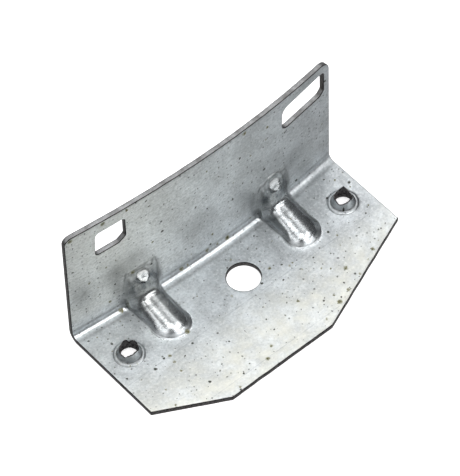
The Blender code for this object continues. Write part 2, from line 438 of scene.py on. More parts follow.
def dent(side, out, up, ringed):
    """How deep a rib's facet is struck in: a flat round spot, tilted to face further up."""
    slope = Vector((-FACET_FOOT, FACET_TOP)).normalized()
    dent_out = (FACET_TOP - DENT_UP) * FACET_FOOT / FACET_TOP
    upwards = (out - dent_out) * slope[0] + (up - DENT_UP) * slope[1]
    reach = math.hypot(side, upwards)
    spot = 1 - smoothstep(DENT_RADIUS, DENT_RADIUS + DENT_EDGE, reach)
    depth = (upwards * math.tan(DENT_TILT) - side * side / (2 * FACET_CROWN)) * spot
    if ringed:
        ring = math.exp(-((reach - RING_RADIUS) / RING_WIDTH) ** 2)
        return depth - RING_HEIGHT * ring * smoothstep(*RING_RUN, upwards)
    ridge = math.exp(-((up - FACET_TOP + RIDGE_DROP) / RING_WIDTH) ** 2)
    return depth - RIDGE_HEIGHT * ridge


def bead_distance(side, out, up):
    """Distance of a point from a bead's round top, which falls towards a ball-shaped nose."""
    ahead = Vector((math.cos(BEAD_FALL), -math.sin(BEAD_FALL)))
    place = Vector((out - BEAD_LENGTH, up + BEAD_DEPTH))
    place -= ahead * min(place.dot(ahead), 0.0)
    return math.hypot(side, place.length) - BEAD_CROWN


def rib_distance(side, out, up, arched):
    """Distance of a point from one rib: a round-nosed bead that turns up into a facet.

    The flanks rise from the sheet with one draft, so that bead and facet run into each other
    along them, and the crease shows only across the top.
    """
    past_nose = max(out - BEAD_LENGTH, 0.0)
    past_arch = max(up - ARCH_UP, 0.0) * HEAD_WIDTH / (FACET_TOP - ARCH_UP) if arched else 0.0
    width = math.hypot(side, past_nose, past_arch)
    foot = FOOT_WIDTH + (HEAD_WIDTH - FOOT_WIDTH) * smoothstep(TAPER_START, FACET_TOP, up)
    rise = max(bend_distance(out, up), 0.0)
    flank = (width - foot) * math.cos(DRAFT) + rise * math.sin(DRAFT)
    slope = Vector((FACET_TOP, FACET_FOOT)).normalized()
    facet = (out - FACET_FOOT) * slope[0] + up * slope[1] + side * side / (2 * FACET_CROWN)
    facet += dent(side, out, up, arched)
    top = smooth_union(bead_distance(side, out, up), facet, CREASE_FILLET)
    low = 1 - smoothstep(*FACET_EDGE_RUN, up / FACET_TOP)
    edge = FACET_TOP_EDGE + (FACET_EDGE - FACET_TOP_EDGE) * low
    edge += (BEAD_EDGE - edge) * smoothstep(*BEAD_EDGE_RUN, out)
    edge += (NOSE_EDGE - edge) * smoothstep(*NOSE_EDGE_RUN, out)
    return rounded_meet(top, flank, edge)


def surface_distance(x, out, up):
    """Distance of a point from the whole inner surface of the pressing."""
    distance = bend_distance(out, up)
    for number, rib_x in enumerate(RIB_X):
        side = x - rib_x
        if abs(side) < RIB_REACH:
            rise = smoothstep(*HEAD_RUN, up)
            edge = smoothstep(*HEAD_CORNER, abs(side) / HEAD_WIDTH)
            head = HEAD_FILLET + (FLANK_FILLET - HEAD_FILLET) * edge
            fillet = FOOT_FILLET + (head - FOOT_FILLET) * rise
            rib = rib_distance(side, out, up, number == 1)
            distance = smooth_union(distance, rib, fillet)
    return distance


def pressed(x, out, up):
    """Move a point of the plain bent sheet, at 45 degrees, out to the face of the ribs."""
    if surface_distance(x, out, up) > ON_FACE:
        return out, up
    near = 0.0
    far = 2 * FOOT_WIDTH
    for _ in range(HALVINGS):
        middle = (near + far) / 2
        shift = middle * math.sqrt(0.5)
        if surface_distance(x, out + shift, up + shift) < 0:
            near = middle
        else:
            far = middle
    shift = near * math.sqrt(0.5)
    return out + shift, up + shift


# Soft clouds of painted shade on the flange, standing in for dark reflections: (x, height, half
# width, half height) in mm, and strength
SHADE_CLOUDS = (
    (-55.0, 20.0, 4.0, 6.0, 0.50), (-40.0, 22.5, 6.0, 4.5, 0.45), (-33.0, 25.0, 5.0, 3.5, 0.35),
    (-6.0, 20.0, 10.0, 6.0, 0.25), (25.0, 27.0, 8.0, 6.0, 0.25), (41.0, 18.0, 7.5, 6.0, 0.50),
    (46.0, 9.0, 7.0, 5.0, 0.40), (16.0, 18.0, 5.0, 8.0, 0.35),
)


def cloud_shade(x, up):
    """How dark the painted shade of the flange's soft clouds is at a place."""
    grey = 0.0
    for cloud_x, cloud_up, half_width, half_height, strength in SHADE_CLOUDS:
        reach = math.hypot((x / MM - cloud_x) / half_width, (up / MM - cloud_up) / half_height)
        grey = max(grey, strength * math.exp(-reach * reach))
    return grey


def beside_rib(x):
    """How far x lies to the right of the nearest rib's middle."""
    return min((x - rib_x for rib_x in RIB_X), key=abs)


# Painted shade beside the ribs: its reach to their left and right, and its strengths
HALO_LEFT = 3.2 * MM
HALO_RIGHT = 1.6 * MM
HALO_ON_FLANGE = 0.55
HALO_ON_PLATE = 0.30


def rib_side_shade(x, out, up, lift):
    """How much painted shade lies on the sheet beside the ribs; more on their left."""
    side = beside_rib(x)
    gap = max(abs(side) - FOOT_WIDTH, 0.0) / (HALO_LEFT if side < 0 else HALO_RIGHT)
    band = math.exp(-gap * gap) * smoothstep(4.2 * MM, 6.0 * MM, abs(side))
    on_flange = smoothstep(1 * MM, 4 * MM, up) * (1 - smoothstep(11 * MM, 19 * MM, up))
    on_plate = smoothstep(1 * MM, 3 * MM, out) * (1 - smoothstep(5 * MM, 12 * MM, out))
    flat = 1 - smoothstep(0.2 * MM, 1.0 * MM, lift) * smoothstep(1 * MM, 4 * MM, out)
    left_of_rib = HALO_ON_PLATE * on_plate if side < 0 else 0.0
    return band * flat * max(HALO_ON_FLANGE * on_flange, left_of_rib)


# The crescent that the die polished round each nose
CRESCENT_OFF = 0.5 * MM
CRESCENT_WIDTH = 1.1 * MM
CRESCENT_POLISH = 0.9
CRESCENT_RUN = (11 * MM, 15 * MM)


def burnish(x, out, up):
    """How bright the die rubbed the plate, in a crescent round the nose of each rib."""
    gap = math.hypot(beside_rib(x), max(out - BEAD_LENGTH, 0.0)) - FOOT_WIDTH - CRESCENT_OFF
    ring = math.exp(-((gap / CRESCENT_WIDTH) ** 2))
    return CRESCENT_POLISH * ring * smoothstep(*CRESCENT_RUN, out) if up <= 0.0 else 0.0


# Painted shade: the thin dark line at the ribs' feet, the darker right flanks and the dark lines
# beside the bend
FOOT_LINE_LIFT = 0.6 * MM
FOOT_LINE_WIDTH = 0.2 * MM
FOOT_LINE_SHADE = 0.75
FLANK_SIDE = (2.5 * MM, 5.5 * MM)
FLANK_LIFT = (0.3 * MM, 1.5 * MM)
FLANK_SHADE = 0.5
BEND_LINE_FRONT = 0.9 * MM
BEND_LINE_WIDTH = 0.7 * MM
BEND_LINE_SHADE = 0.5


def painted_shade(x, along, out, up, lift):
    """How much painted shade lies at a place.

    It lies in thin lines at the ribs' feet and beside the bend, down the ribs' right flanks,
    and in the flange's clouds and the halos.
    """
    bend_end = sizes().bend_radius * math.pi / 2
    to_line = min(abs(along + BEND_LINE_FRONT), abs(along - bend_end - BEND_LINE_WIDTH))
    to_line /= BEND_LINE_WIDTH
    foot_line = math.exp(-((lift - FOOT_LINE_LIFT) / FOOT_LINE_WIDTH) ** 2)
    flank = smoothstep(*FLANK_SIDE, beside_rib(x)) * smoothstep(*FLANK_LIFT, lift)
    return max(
        FOOT_LINE_SHADE * foot_line, FLANK_SHADE * flank, cloud_shade(x, up),
        BEND_LINE_SHADE * math.exp(-to_line * to_line), rib_side_shade(x, out, up, lift),
    )


# Polish of the bend, which fades beyond the right rib, and of the raised metal of the ribs
BEND_POLISH = 0.75
BEND_POLISH_LOST = 0.5
BEND_POLISH_FADE = (34 * MM, 42 * MM)
RIB_POLISH_LIFT = (0.3 * MM, 2.5 * MM)


def polish(x, along, out, up, lift):
    """How far the press polished a place: on the ribs, in the bend and round the noses."""
    in_bend = 0.0 < along < sizes().bend_radius * math.pi / 2
    bend = in_bend * (BEND_POLISH - BEND_POLISH_LOST * smoothstep(*BEND_POLISH_FADE, x))
    return max(smoothstep(*RIB_POLISH_LIFT, lift), bend, burnish(x, out, up))


def form(bm):
    """Bend the flat blank and press its ribs, leaving the sheet's inner surface.

    Each vertex keeps its place on the flat blank, which the zinc's pattern follows, how far
    the press rubbed it bright, and how much painted shade lies on it.
    """
    sheet = sizes().sheet
    face = face_y()
    blank = bm.verts.layers.float_vector.new("blank")
    rubbed = bm.verts.layers.float.new("rubbed")
    painted_dark = bm.verts.layers.float.new("painted_dark")
    for vert in bm.verts:
        x, along, _ = vert.co
        vert[blank] = vert.co
        plain_out, plain_up = roll(along)
        out, up = plain_out, plain_up
        if abs(beside_rib(x)) < RIB_REACH:
            out, up = pressed(x, out, up)
        lift = math.hypot(out - plain_out, up - plain_up)
        hammer = HAMMERED * noise.noise(vert.co / HAMMER_MARK) * smoothstep(*HAMMER_RUN, lift)
        out += hammer
        up += hammer
        # Painted shade for the zinc's colour
        vert[painted_dark] = painted_shade(x, along, plain_out, plain_up, lift)
        vert[rubbed] = polish(x, along, plain_out, plain_up, lift)
        vert.co = (x, face - bow_at(x) - out, sheet + up)


# ---------------------------------------------------------------- the burst collars

# Direction, anticlockwise from +X, that the torn rims are measured from
RIM_START = math.radians(51.0)
COLLAR_FLARE = 5.8 * MM
COLLAR_STEPS = 72
# Height of the torn rims' raggedness in millimetres, and how closely it repeats
RAGGED_HEIGHT = 0.35
RAGGED_TEETH = 6
COLLAR_LEAN = 0.05
COLLAR_LEAN_SEED = 90
COLLAR_POLISH = 0.4
# Darker colour at the collar's foot and on its upper wall, by radius in millimetres
FOOT_RADIUS = 5.6
THROAT_RADII = (4.2, 4.8)
BAND_DARKENING = 0.8
COLLAR_DARKENING = 0.2
# Share of the sheet's thickness left at the torn rim, and how far up the wall it is reached
RIM_WALL = 0.24
THINNED_BY = 0.5
# Radius, height of the swollen ring round the foot, and share of the rim's height, going up
COLLAR_WALL = (
    (5.7, 0.08, 0.0), (5.5, 0.30, 0.0), (5.25, 0.45, 0.0), (4.95, 0.50, 0.0),
    (4.7, 0.42, 0.02), (4.5, 0.30, 0.07), (4.35, 0.20, 0.15), (4.2, 0.10, 0.26),
    (4.0, 0.0, 0.40), (3.85, 0.0, 0.53), (3.7, 0.0, 0.66), (3.6, 0.0, 0.78),
    (3.5, 0.0, 0.90), (3.4, 0.0, 1.0),
)
# Torn rims: (degrees clockwise from RIM_START, height in millimetres)
LEFT_RIM = (
    (0, 2.6), (10, 3.8), (36, 4.2), (56, 3.9), (66, 3.2), (90, 3.6), (128, 4.4), (165, 4.0),
    (190, 3.3), (208, 2.1), (222, 2.7), (262, 2.4), (300, 3.4), (330, 4.6), (350, 3.9),
)
RIGHT_RIM = (
    (0, 5.0), (8, 6.0), (13, 4.9), (40, 3.7), (66, 2.6), (95, 3.4), (130, 4.6), (168, 3.9),
    (195, 3.2), (214, 3.1), (236, 4.0), (262, 4.6), (280, 3.9), (292, 3.0), (322, 3.4), (346, 4.6),
)


def rim_height(rim, angle):
    """Height of a torn rim at a direction, with a fine ragged edge."""
    turn = math.degrees(RIM_START - angle) % 360
    height = rim[0][1]
    for (a, first), (b, second) in zip(rim, rim[1:] + ((360, rim[0][1]),)):
        if a <= turn <= b:
            height = first + (second - first) * (turn - a) / (b - a)
    way = Vector((math.cos(angle) * RAGGED_TEETH, math.sin(angle) * RAGGED_TEETH, rim[1][1]))
    return (height + RAGGED_HEIGHT * noise.noise(way)) * MM


def burst(bm, rim_edges, x, rim):
    """Draw the edge of a small hole up into a thin torn collar.

    Returns its rings, each as the share of the rim's height reached and its vertices.
    """
    centre = Vector((x, face_y() - COLLAR_DEPTH, sizes().sheet))
    blank = bm.verts.layers.float_vector["blank"]
    rubbed = bm.verts.layers.float["rubbed"]
    painted_dark = bm.verts.layers.float["painted_dark"]
    edges = rim_edges
    rings = []
    for radius, swell, share in COLLAR_WALL:
        made = bmesh.ops.extrude_edge_only(bm, edges=edges)["geom"]
        verts = [item for item in made if isinstance(item, bmesh.types.BMVert)]
        edges = [
            item for item in made
            if isinstance(item, bmesh.types.BMEdge) and item.is_boundary
        ]
        for vert in verts:
            angle = math.atan2(vert.co.y - centre.y, vert.co.x - centre.x)
            height = rim_height(rim, angle) * share + swell * MM
            sway = noise.noise(Vector((angle * 2, x * COLLAR_LEAN_SEED, 0.0)))
            lean = 1.0 + COLLAR_LEAN * share * sway
            vert.co.x = centre.x + radius * MM * lean * math.cos(angle)
            vert.co.y = centre.y + radius * MM * lean * math.sin(angle)
            vert.co.z = centre.z + height
            out = face_y() - bow_at(vert.co.x) - vert.co.y
            vert[blank] = (vert.co.x, unroll(out, 0.0), height)
            vert[rubbed] = COLLAR_POLISH
            # The collar is coloured darker, most at its foot and on its upper wall
            in_band = radius > FOOT_RADIUS or THROAT_RADII[0] < radius < THROAT_RADII[1]
            vert[painted_dark] = BAND_DARKENING if in_band else COLLAR_DARKENING
        rings.append((share, verts))
    return rings


# ---------------------------------------------------------------- materials


def add_node(tree, kind, settings=None, links=None):
    """Add a node, set its properties and inputs, and link other sockets into it."""
    node = tree.nodes.new(kind)
    for name, value in (settings or {}).items():
        if isinstance(name, str) and hasattr(node, name):
            setattr(node, name, value)
        else:
            node.inputs[name].default_value = value
    for name, socket in (links or {}).items():
        tree.links.new(socket, node.inputs[name])
    return node


def new_material(name):
    """A material whose tree holds only its Principled shader and its output."""
    material = bpy.data.materials.new(name)
    material.use_nodes = True
    tree = material.node_tree
    return material, tree, tree.nodes["Principled BSDF"]


def remap(tree, value, low, high, new_low, new_high):
    """Stretch a value's range."""
    node = add_node(
        tree, "ShaderNodeMapRange",
        {"From Min": low, "From Max": high, "To Min": new_low, "To Max": new_high},
        {"Value": value},
    )
    return node.outputs["Result"]


def calculate(tree, operation, first, second):
    """One step of arithmetic on two values, each a socket or a number."""
    node = add_node(tree, "ShaderNodeMath", {"operation": operation})
    for socket, value in ((node.inputs[0], first), (node.inputs[1], second)):
        if isinstance(value, bpy.types.NodeSocket):
            tree.links.new(value, socket)
        else:
            socket.default_value = value
    return node.outputs["Value"]


def blend_colour(tree, amount, first, second):
    """Mix two colours, each a socket or a fixed colour, by an amount socket."""
    mix = add_node(tree, "ShaderNodeMix", {"data_type": "RGBA"}, {0: amount})
    for socket, value in ((mix.inputs[6], first), (mix.inputs[7], second)):
        if isinstance(value, bpy.types.NodeSocket):
            tree.links.new(value, socket)
        else:
            socket.default_value = value
    return mix.outputs[2]


def grey_noise(tree, place, size, detail, roughness=0.6):
    """Soft random mottling whose patches are about this size."""
    node = add_node(
        tree, "ShaderNodeTexNoise",
        {"Scale": 1.0 / size, "Detail": detail, "Roughness": roughness}, {"Vector": place},
    )
    return node.outputs["Fac"]


def scattered(tree, place, spacing, share):
    """Distance to a scattered point, in cells; far away where the cell has no spot."""
    cells = add_node(
        tree, "ShaderNodeTexVoronoi", {"voronoi_dimensions": "2D", "Scale": 1.0 / spacing},
        {"Vector": place},
    )
    parts = add_node(tree, "ShaderNodeSeparateColor", links={"Color": cells.outputs["Color"]})
    empty = calculate(tree, "GREATER_THAN", parts.outputs["Red"], share)
    size = remap(tree, parts.outputs["Green"], 0.0, 1.0, 0.6, 1.6)
    reach = calculate(tree, "MULTIPLY", cells.outputs["Distance"], size)
    return calculate(tree, "ADD", reach, empty)


# The larger stains: (x, distance from the flange or height up it, radius), in millimetres
PLATE_STAINS = (
    (-15.2, 52.2, 1.3), (19.8, 50.6, 1.5), (31.2, 41.0, 1.3), (44.0, 41.2, 1.2),
    (25.6, 48.8, 1.2), (33.2, 46.2, 0.9), (-39.8, 28.6, 1.1), (-40.2, 31.8, 1.0),
    (-50.0, 38.8, 0.8), (17.2, 27.2, 0.9), (19.2, 31.2, 0.8), (-1.6, 34.8, 0.7),
    (-6.8, 23.8, 0.9), (3.0, 11.4, 0.9), (-40.8, 36.2, 0.9), (-28.6, 24.8, 1.6),
    (9.2, 41.0, 0.8), (11.4, 53.2, 0.9), (39.6, 43.6, 0.8), (36.4, 32.4, 0.7),
    (-54.6, 18.4, 0.9), (-50.8, 23.6, 1.1), (-49.2, 23.2, 0.8), (50.2, 23.0, 1.2),
    (-10.6, 49.0, 1.0), (24.8, 35.4, 0.9), (-30.0, 55.0, 0.8), (48.2, 39.6, 0.7),
)
FLANGE_STAINS = (
    (-40.2, 0.2, 1.5), (-13.2, 1.6, 1.3), (-10.4, 1.4, 1.0), (-1.2, 2.2, 1.3),
    (3.4, 1.8, 1.0), (8.0, 1.6, 1.5), (28.4, 46.6, 1.1), (27.6, 40.2, 0.9),
    (17.6, 52.4, 1.4), (-44.4, 53.2, 1.3), (-57.6, 53.6, 1.5), (-38.6, 54.6, 1.0),
    (11.8, 29.8, 0.8), (-51.4, 24.8, 1.0), (-48.4, 14.6, 0.8), (-40.0, 29.0, 0.7),
    (10.0, 17.0, 0.7), (-8.4, 5.8, 0.8), (-33.8, 17.0, 1.4), (-48.2, 19.8, 0.7),
)


def stain_field(tree, place):
    """Distance to the nearest of the larger stains, as a share of its radius."""
    nearest = None
    middles = [(x, unroll(out * MM - bow_at(x * MM), 0.0), r) for x, out, r in PLATE_STAINS]
    middles += [(x, unroll(0.0, up * MM), r) for x, up, r in FLANGE_STAINS]
    for x, along, radius in middles:
        reach = add_node(
            tree, "ShaderNodeVectorMath", {"operation": "DISTANCE", 1: (x * MM, along, 0.0)},
            {0: place},
        ).outputs["Value"]
        share = calculate(tree, "DIVIDE", reach, radius * MM)
        nearest = share if nearest is None else calculate(tree, "MINIMUM", nearest, share)
    return nearest


def fold_shade_lines(tree, along, streak):
    """Faint straight lines of painted shade along the plate, standing in for slight bends in it.
    """
    lines = None
    for out, width, strength in FOLD_SHADE_LINES:
        y = face_y() - out * MM
        gap = calculate(tree, "ABSOLUTE", calculate(tree, "SUBTRACT", along, y), 0.0)
        line = remap(tree, gap, width * MM, 0.0, 0.0, strength)
        line = calculate(tree, "MULTIPLY", line, streak)
        lines = line if lines is None else calculate(tree, "MAXIMUM", lines, line)
    return lines


# Sizes of the zinc's patterns. The clouds, patches, stains and pits are as large as real
# ones. The grain, scuffs and crust are really 0.1 to 0.4 mm across, which is too fine to show,
# so they are drawn coarser.
CLOUD_SIZE = 14 * MM
MOTTLE_SIZE = 3.2 * MM
GRAIN_SIZE = 1.0 * MM
SCUFF_SIZE = 0.9 * MM
SCUFF_TURN = math.radians(8.0)
RAGGED_SIZE = 1.1 * MM
RAGGED_REACH = 0.9 * MM
FACET_SHADE_PATCH_SIZE = 3.5 * MM
RUST_SIZE = 7 * MM
CRUST_SIZE = 0.7 * MM
FINE_PIT_SPACING = 1.9 * MM
COARSE_PIT_SPACING = 5.2 * MM
SPECK_SPACING = 9.0 * MM
SPECK_RADIUS = 0.055
DULL_SHARE = 0.68
RELIEF = 0.03 * MM
# Painted shade lines across the plate, standing in for slight bends: (distance from the flange,
# width, strength), in millimetres
FOLD_SHADE_LINES = ((28.8, 0.30, 0.6), (52.0, 0.25, 0.55), (27.0, 0.2, 0.3))


def galvanised_steel():
    """Hot-dip galvanised mild steel, pressed after dipping: a dull blue-grey zinc skin,
    cloudy with fine scuffs, paler with white rust towards the plate's front, peppered with
    dark pin-holes and olive-brown stains, and polished where the press rubbed it. Painted
    light makes the flange paler, most on its left, and painted shade darkens the ribs' feet,
    flanks and facets, the flange's clouds, the lines beside the bend and faint lines across the
    plate."""
    material, tree, shader = new_material("galvanised_steel")
    s = sizes()
    solid = add_node(tree, "ShaderNodeTexCoord").outputs["Object"]
    blank = add_node(tree, "ShaderNodeAttribute", {"attribute_name": "blank"}).outputs["Vector"]
    rubbed = add_node(tree, "ShaderNodeAttribute", {"attribute_name": "rubbed"}).outputs["Fac"]
    painted_dark = add_node(tree, "ShaderNodeAttribute", {"attribute_name": "painted_dark"}).outputs["Fac"]
    axes = add_node(tree, "ShaderNodeSeparateXYZ", links={"Vector": solid})

    cloud = grey_noise(tree, blank, CLOUD_SIZE, 3.0)
    mottle = grey_noise(tree, blank, MOTTLE_SIZE, 4.0)
    grain = grey_noise(tree, blank, GRAIN_SIZE, 3.0, 0.75)
    stroke = add_node(
        tree, "ShaderNodeMapping",
        {"Rotation": (0.0, 0.0, SCUFF_TURN), "Scale": (0.25, 1.0, 1.0)},
        {"Vector": blank},
    ).outputs["Vector"]
    scuff = grey_noise(tree, stroke, SCUFF_SIZE, 3.0, 0.7)
    warp = add_node(
        tree, "ShaderNodeTexNoise", {"Scale": 1 / RAGGED_SIZE, "Detail": 2.0}, {"Vector": blank}
    ).outputs["Color"]
    ragged = add_node(
        tree, "ShaderNodeVectorMath", {"operation": "MULTIPLY_ADD", 1: (RAGGED_REACH,) * 3},
        {0: warp, 2: blank},
    ).outputs["Vector"]
    back = -RAGGED_REACH / 2
    centred = add_node(
        tree, "ShaderNodeVectorMath", {"operation": "ADD", 1: (back, back, 0.0)}, {0: ragged}
    ).outputs["Vector"]

    bright = tuple(s.zinc) + (1.0,)
    dull = tuple(c * DULL_SHARE for c in s.zinc) + (1.0,)
    shade = remap(tree, cloud, 0.38, 0.60, 0.0, 0.95)
    zinc = blend_colour(tree, shade, bright, dull)
    zinc = blend_colour(tree, remap(tree, mottle, 0.36, 0.66, 0.0, 0.40), zinc, dull)
    upright = remap(tree, axes.outputs["Z"], 3 * MM, 12 * MM, 0.0, 1.0)
    left = remap(tree, axes.outputs["X"], 0.0, -40 * MM, 0.25, 1.0)
    scuffs_and_light = calculate(tree, "MULTIPLY", upright, left)
    strokes = calculate(tree, "MULTIPLY", remap(tree, scuff, 0.46, 0.66, 0.0, 0.9), scuffs_and_light)
    zinc = blend_colour(tree, strokes, zinc, linear("#8f9494"))
    # Painted light: the flange is made paler towards #efefe8, most on its left; the same mask
    # weights the scuff strokes above
    zinc = blend_colour(
        tree, calculate(tree, "MULTIPLY", scuffs_and_light, 0.55), zinc, linear("#efefe8")
    )
    zinc = blend_colour(tree, remap(tree, grain, 0.52, 0.70, 0.0, 0.50), zinc, linear("#ffffff"))
    zinc = blend_colour(tree, remap(tree, grain, 0.48, 0.30, 0.0, 0.42), zinc, linear("#858b8d"))
    # Painted shade: the ribs' facets and flanks on the flange are darkened in patches towards
    # #6b7175
    facet_shade = calculate(
        tree, "MULTIPLY", rubbed, remap(tree, axes.outputs["Z"], 8 * MM, 11 * MM, 0.0, 1.0)
    )
    facet_shade_patches = remap(tree, grey_noise(tree, solid, FACET_SHADE_PATCH_SIZE, 4.0), 0.35, 0.62, 0.95, 0.25)
    zinc = blend_colour(
        tree, calculate(tree, "MULTIPLY", facet_shade, facet_shade_patches), zinc, linear("#6b7175")
    )
    # Painted shade at the ribs' feet and flanks, beside the bend, on the flange's clouds and
    # beside the ribs, and the collars' darker colour, mixed towards #4a4b4a
    darkening = calculate(tree, "MULTIPLY", painted_dark, remap(tree, mottle, 0.3, 0.6, 1.0, 0.5))
    zinc = blend_colour(tree, darkening, zinc, linear("#4a4b4a"))

    front = remap(tree, axes.outputs["Y"], 2 * MM, -16 * MM, 0.0, 1.0)
    rust = remap(tree, grey_noise(tree, blank, RUST_SIZE, 4.0), 0.40, 0.66, 0.25, 0.65)
    rust = calculate(tree, "MULTIPLY", front, rust)
    zinc = blend_colour(tree, rust, zinc, linear("#efeee2"))

    # Painted shade: faint dark lines across the plate
    lines = fold_shade_lines(tree, axes.outputs["Y"], remap(tree, mottle, 0.35, 0.6, 0.2, 0.8))
    flat = calculate(tree, "LESS_THAN", axes.outputs["Z"], 2.5 * MM)
    zinc = blend_colour(
        tree, calculate(tree, "MULTIPLY", lines, flat), zinc, linear("#9ba2a8")
    )

    fine = scattered(tree, ragged, FINE_PIT_SPACING, 0.24)
    coarse = scattered(tree, ragged, COARSE_PIT_SPACING, 0.26)
    pits = calculate(
        tree, "MAXIMUM", remap(tree, fine, 0.15, 0.07, 0.0, 0.75),
        remap(tree, coarse, 0.09, 0.055, 0.0, 0.95),
    )
    pits = calculate(tree, "MULTIPLY", pits, remap(tree, rubbed, 0.4, 1.0, 1.0, 0.35))
    zinc = blend_colour(tree, pits, zinc, linear("#45463f"))
    stain = calculate(tree, "MULTIPLY", stain_field(tree, centred), 1.15)
    specks = scattered(tree, centred, SPECK_SPACING, 0.30)
    stain = calculate(tree, "MINIMUM", stain, calculate(tree, "DIVIDE", specks, SPECK_RADIUS))
    crust = remap(tree, grey_noise(tree, blank, CRUST_SIZE, 2.0), 0.4, 0.60, 0.5, 1.0)
    outer = calculate(tree, "MULTIPLY", remap(tree, stain, 1.0, 0.6, 0.0, 1.0), crust)
    zinc = blend_colour(tree, outer, zinc, tuple(s.stain) + (1.0,))
    core = calculate(tree, "MULTIPLY", remap(tree, stain, 0.62, 0.40, 0.0, 0.7), crust)
    zinc = blend_colour(tree, core, zinc, linear("#43432f"))
    tree.links.new(zinc, shader.inputs["Base Color"])

    rough = remap(tree, mottle, 0.3, 0.7, 0.43, 0.55)
    polished = remap(tree, mottle, 0.3, 0.7, 0.20, 0.29)
    rough_mix = add_node(
        tree, "ShaderNodeMix", {"data_type": "FLOAT"}, {0: rubbed, 2: rough, 3: polished}
    ).outputs[0]
    rough_mix = calculate(tree, "MAXIMUM", rough_mix, remap(tree, stain, 1.0, 0.8, 0.0, 0.6))
    tree.links.new(rough_mix, shader.inputs["Roughness"])
    shader.inputs["Metallic"].default_value = 1.0
    relief = calculate(tree, "ADD", calculate(tree, "MULTIPLY", mottle, 3.0), grain)
    relief = calculate(tree, "SUBTRACT", relief, calculate(tree, "MULTIPLY", pits, 2.0))
    bump = add_node(
        tree, "ShaderNodeBump", {"Strength": 0.5, "Distance": RELIEF}, {"Height": relief}
    )
    tree.links.new(bump.outputs["Normal"], shader.inputs["Normal"])
    return material


def sheared_edge():
    """Guillotined and punched mild steel edges: finely torn grey steel, brownish where bare
    on the sides, and paler on upward edges as painted light."""
    material, tree, shader = new_material("sheared_edge")
    place = add_node(tree, "ShaderNodeTexCoord").outputs["Object"]
    facing = add_node(tree, "ShaderNodeNewGeometry").outputs["Normal"]
    axes = add_node(tree, "ShaderNodeSeparateXYZ", links={"Vector": facing})
    tear = grey_noise(tree, place, 0.7 * MM, 3.0, 0.7)
    patch = grey_noise(tree, place, 4.0 * MM, 3.0)
    bare = blend_colour(
        tree, remap(tree, tear, 0.35, 0.65, 0.0, 1.0), linear("#4d4a49"), linear("#817d7b")
    )
    lit_edge = blend_colour(
        tree, remap(tree, patch, 0.35, 0.65, 0.0, 1.0), linear("#7f7e7e"), linear("#acadae")
    )
    lit_edge = blend_colour(tree, remap(tree, tear, 0.45, 0.75, 0.0, 0.6), lit_edge, linear("#7b7c7d"))
    # Painted light: edges that face upwards are paler
    upward = remap(tree, axes.outputs["Z"], 0.4, 0.8, 0.0, 1.0)
    colour = blend_colour(tree, upward, bare, lit_edge)
    tree.links.new(colour, shader.inputs["Base Color"])
    shader.inputs["Metallic"].default_value = 1.0
    shader.inputs["Roughness"].default_value = 0.5
    return material


def rim_shade():
    """The rolled rim of every sheared edge, near-black as painted shade where it turns from the
    light.
    A real one is about 0.1 mm wide, too fine to show, so it is made as wide as edge_round."""
    material, tree, shader = new_material("rim_shade")
    place = add_node(tree, "ShaderNodeTexCoord").outputs["Object"]
    patch = grey_noise(tree, place, 1.6 * MM, 3.0)
    colour = blend_colour(
        tree, remap(tree, patch, 0.42, 0.66, 0.0, 1.0), linear("#1f1b1a"), linear("#4e4846")
    )
    tree.links.new(colour, shader.inputs["Base Color"])
    shader.inputs["Metallic"].default_value = 1.0
    shader.inputs["Roughness"].default_value = 0.55
    return material


def torn_steel_and_shade():
    """Steel torn open when the small holes were burst: bare and rough, darkened as painted shade
    for the bores' shadowed walls.
    """
    material, tree, shader = new_material("torn_steel_and_shade")
    place = add_node(tree, "ShaderNodeTexCoord").outputs["Object"]
    tear = grey_noise(tree, place, 0.8 * MM, 4.0, 0.7)
    colour = blend_colour(
        tree, remap(tree, tear, 0.4, 0.7, 0.0, 1.0), linear("#3b3939"), linear("#858281")
    )
    tree.links.new(colour, shader.inputs["Base Color"])
    shader.inputs["Metallic"].default_value = 1.0
    shader.inputs["Roughness"].default_value = 0.5
    bump = add_node(
        tree, "ShaderNodeBump", {"Strength": 0.6, "Distance": 0.15 * MM}, {"Height": tear}
    )
    tree.links.new(bump.outputs["Normal"], shader.inputs["Normal"])
    return material


def opal_acrylic():
    """Opal acrylic on a light table: an even pale floor with hardly any shadow."""
    material, _, shader = new_material("opal_acrylic")
    shader.inputs["Base Color"].default_value = linear("#f4f4f4")
    shader.inputs["Roughness"].default_value = 0.9
    shader.inputs["Emission Color"].default_value = linear("#ffffff")
    shader.inputs["Emission Strength"].default_value = 0.75
    return material


# ---------------------------------------------------------------- operators


# Places of the finishes after the zinc in the piece's list
EDGE_FINISH = 1
TORN_FINISH = 2
RIM_FINISH = 3
# How squarely a face of a collar has to look at the hole's middle to be its bore
BORE_FACING = -0.25
ROUNDING_STEPS = 2
ROUNDING_ANGLE = math.radians(75.0)
SHARP_ANGLE = math.radians(40.0)


def blacken_torn_steel(mesh):
    """Give the bores and rims of the burst holes their bare, torn steel, darkened as painted
    shade.
    """
    for x in (-COLLAR_X, COLLAR_X):
        axis = Vector((x, face_y() - COLLAR_DEPTH))
        for face in mesh.polygons:
            outwards = face.center.xy - axis
            if outwards.length > COLLAR_FLARE:
                continue
            faces_in = face.normal.xy.dot(outwards.normalized()) < BORE_FACING
            if faces_in or face.material_index in (EDGE_FINISH, RIM_FINISH):
                face.material_index = TORN_FINISH


